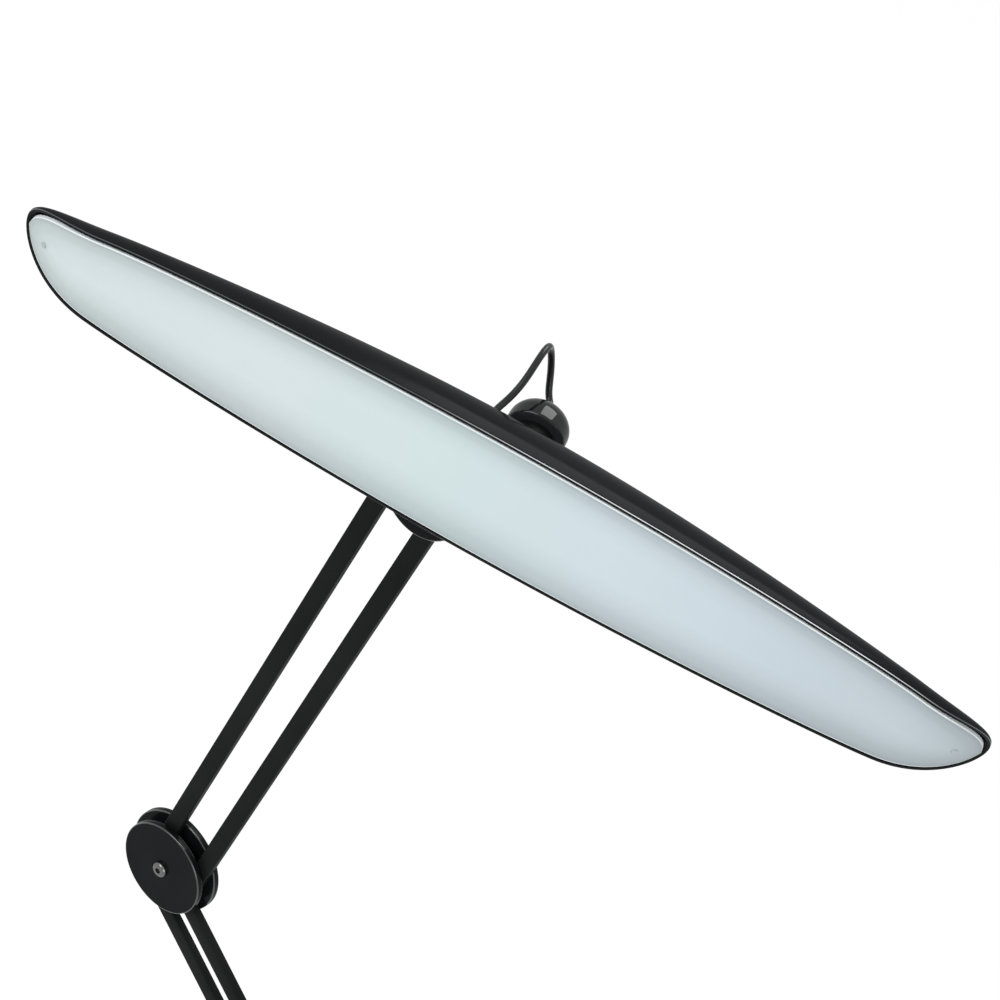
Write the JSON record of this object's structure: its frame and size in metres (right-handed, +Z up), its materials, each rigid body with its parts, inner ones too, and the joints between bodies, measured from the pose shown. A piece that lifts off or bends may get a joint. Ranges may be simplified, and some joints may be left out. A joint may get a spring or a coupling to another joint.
{
  "type": "clip-on work lamp",
  "caption": "Black clip-on work lamp with a long boat-shaped light head, swivel neck, double parallelogram arm of flat tube, round elbow plates and a screw clamp",
  "frame": {"origin": "On the table top under the jaw pad, on the swivel axis of the base", "axes": "X points forward over the table, Y is the axis of the arm's pivots, Z points up along the swivel axis"},
  "size_m": [0.5578, 0.2133, 1.014],
  "materials": {
    "satin_black_metal": "satin black powder coat",
    "black_plate": "black enamel with a bright edge",
    "gloss_black": "glossy black",
    "black_plastic": "moulded black plastic",
    "nylon": "dark nylon",
    "rubber": "black rubber",
    "steel": "turned steel",
    "bright_steel": "bright plated steel",
    "diffuser_white": "milky white plastic",
    "aluminium": "plain aluminium sheet",
    "board": "green circuit board"
  },
  "bodies": {
    "clamp": {"clamp_body": "satin_black_metal", "jaw_pad": "rubber", "socket_bush": "nylon"},
    "press": {"pressure_plate": "satin_black_metal", "plate_pad": "rubber"},
    "screw": {"clamp_screw": "steel", "clamp_knob": "black_plastic"},
    "base": {"base_floor": "satin_black_metal", "base_housing": "gloss_black", "base_block": "satin_black_metal", "base_disc_front": "black_plate", "base_disc_back": "black_plate", "base_pins": "steel", "dc_inlet": "black_plastic", "dimmer_board": "board"},
    "button": {"switch_button": "black_plastic"},
    "lower_a": {"lower_bar_a": "satin_black_metal", "lower_bushes_a": "nylon", "lower_plugs_a": "black_plastic"},
    "lower_b": {"lower_bar_b": "satin_black_metal", "lower_bushes_b": "nylon", "lower_plugs_b": "black_plastic"},
    "elbow": {"elbow_disc_front": "black_plate", "elbow_disc_back": "black_plate", "elbow_pins": "steel", "elbow_sleeve": "nylon", "elbow_screw": "bright_steel", "elbow_nut": "bright_steel"},
    "upper_a": {"upper_bar_a": "satin_black_metal", "upper_bushes_a": "nylon", "upper_plugs_a": "black_plastic"},
    "upper_b": {"upper_bar_b": "satin_black_metal", "upper_bushes_b": "nylon", "upper_plugs_b": "black_plastic"},
    "top": {"top_disc_front": "black_plate", "top_disc_back": "black_plate", "top_pins": "steel", "top_screw": "bright_steel", "top_nut": "bright_steel"},
    "hub": {"neck_hub": "satin_black_metal"},
    "neck": {"neck": "satin_black_metal"},
    "head": {"stem": "steel", "stem_nut": "steel", "dome_plate": "gloss_black", "dome": "gloss_black", "head_shell": "gloss_black", "diffuser": "diffuser_white", "tip_screws": "steel", "tip_posts": "black_plastic", "led_tray": "aluminium", "tray_posts": "black_plastic", "led_boards": "diffuser_white", "led_chips": "diffuser_white", "driver_box": "diffuser_white", "lead_grommet": "rubber", "head_lead": "rubber"}
  },
  "joints": [
    {"name": "pad_slide", "type": "slide", "parent": "clamp", "child": "press", "axis": [0, 0, 1], "range_m": [-0.03, 0.03]},
    {"name": "screw_turn", "type": "hinge", "parent": "press", "child": "screw", "pos_m": [0, 0, -0.08], "axis": [0, 0, 1], "range_deg": [-5400, 5400]},
    {"name": "base_swivel", "type": "hinge", "parent": "clamp", "child": "base", "pos_m": [0, 0, 0.04], "axis": [0, 0, 1], "continuous": true},
    {"name": "switch_press", "type": "slide", "parent": "base", "child": "button", "axis": [-1, 0, 0], "range_m": [0, 0.0015], "stiffness_N_per_m": 900, "springref_m": -0.0006},
    {"name": "lower_arm", "type": "hinge", "parent": "base", "child": "lower_a", "pos_m": [-0.0175, 0, 0.11325], "axis": [0, 1, 0], "range_deg": [-9, 106]},
    {"name": "lower_link", "type": "hinge", "parent": "base", "child": "lower_b", "pos_m": [0.0175, 0, 0.12275], "axis": [0, 1, 0], "range_deg": [-9, 106]},
    {"name": "elbow_level", "type": "hinge", "parent": "lower_a", "child": "elbow", "pos_m": [-0.3726, 0, 0.31008], "axis": [0, 1, 0], "range_deg": [-106, 9]},
    {"name": "upper_arm", "type": "hinge", "parent": "elbow", "child": "upper_a", "pos_m": [-0.3678, 0, 0.35428], "axis": [0, 1, 0], "range_deg": [-48, 60]},
    {"name": "upper_link", "type": "hinge", "parent": "elbow", "child": "upper_b", "pos_m": [-0.3326, 0, 0.34128], "axis": [0, 1, 0], "range_deg": [-48, 60]},
    {"name": "top_level", "type": "hinge", "parent": "upper_a", "child": "top", "pos_m": [-0.331, 0, 0.75861], "axis": [0, 1, 0], "range_deg": [-60, 48]},
    {"name": "neck_nod", "type": "hinge", "parent": "top", "child": "hub", "pos_m": [-0.3062, 0, 0.76341], "axis": [0, 1, 0], "range_deg": [-40, 44]},
    {"name": "neck_swivel", "type": "hinge", "parent": "hub", "child": "neck", "pos_m": [-0.26735, 0, 0.83208], "axis": [0.4924, 0, 0.8704], "range_deg": [-90, 180]},
    {"name": "head_turn", "type": "hinge", "parent": "neck", "child": "head", "pos_m": [-0.26735, 0, 0.83208], "axis": [0.3443, -0.9184, -0.1948], "range_deg": [-57, 3]}
  ],
  "couplings": [
    {"joint": "screw_turn", "follows": "pad_slide", "rad_per_m": 3141.6},
    {"joint": "lower_link", "follows": "lower_arm", "ratio": 1},
    {"joint": "elbow_level", "follows": "lower_arm", "ratio": -1},
    {"joint": "upper_link", "follows": "upper_arm", "ratio": 1},
    {"joint": "top_level", "follows": "upper_arm", "ratio": -1}
  ]
}
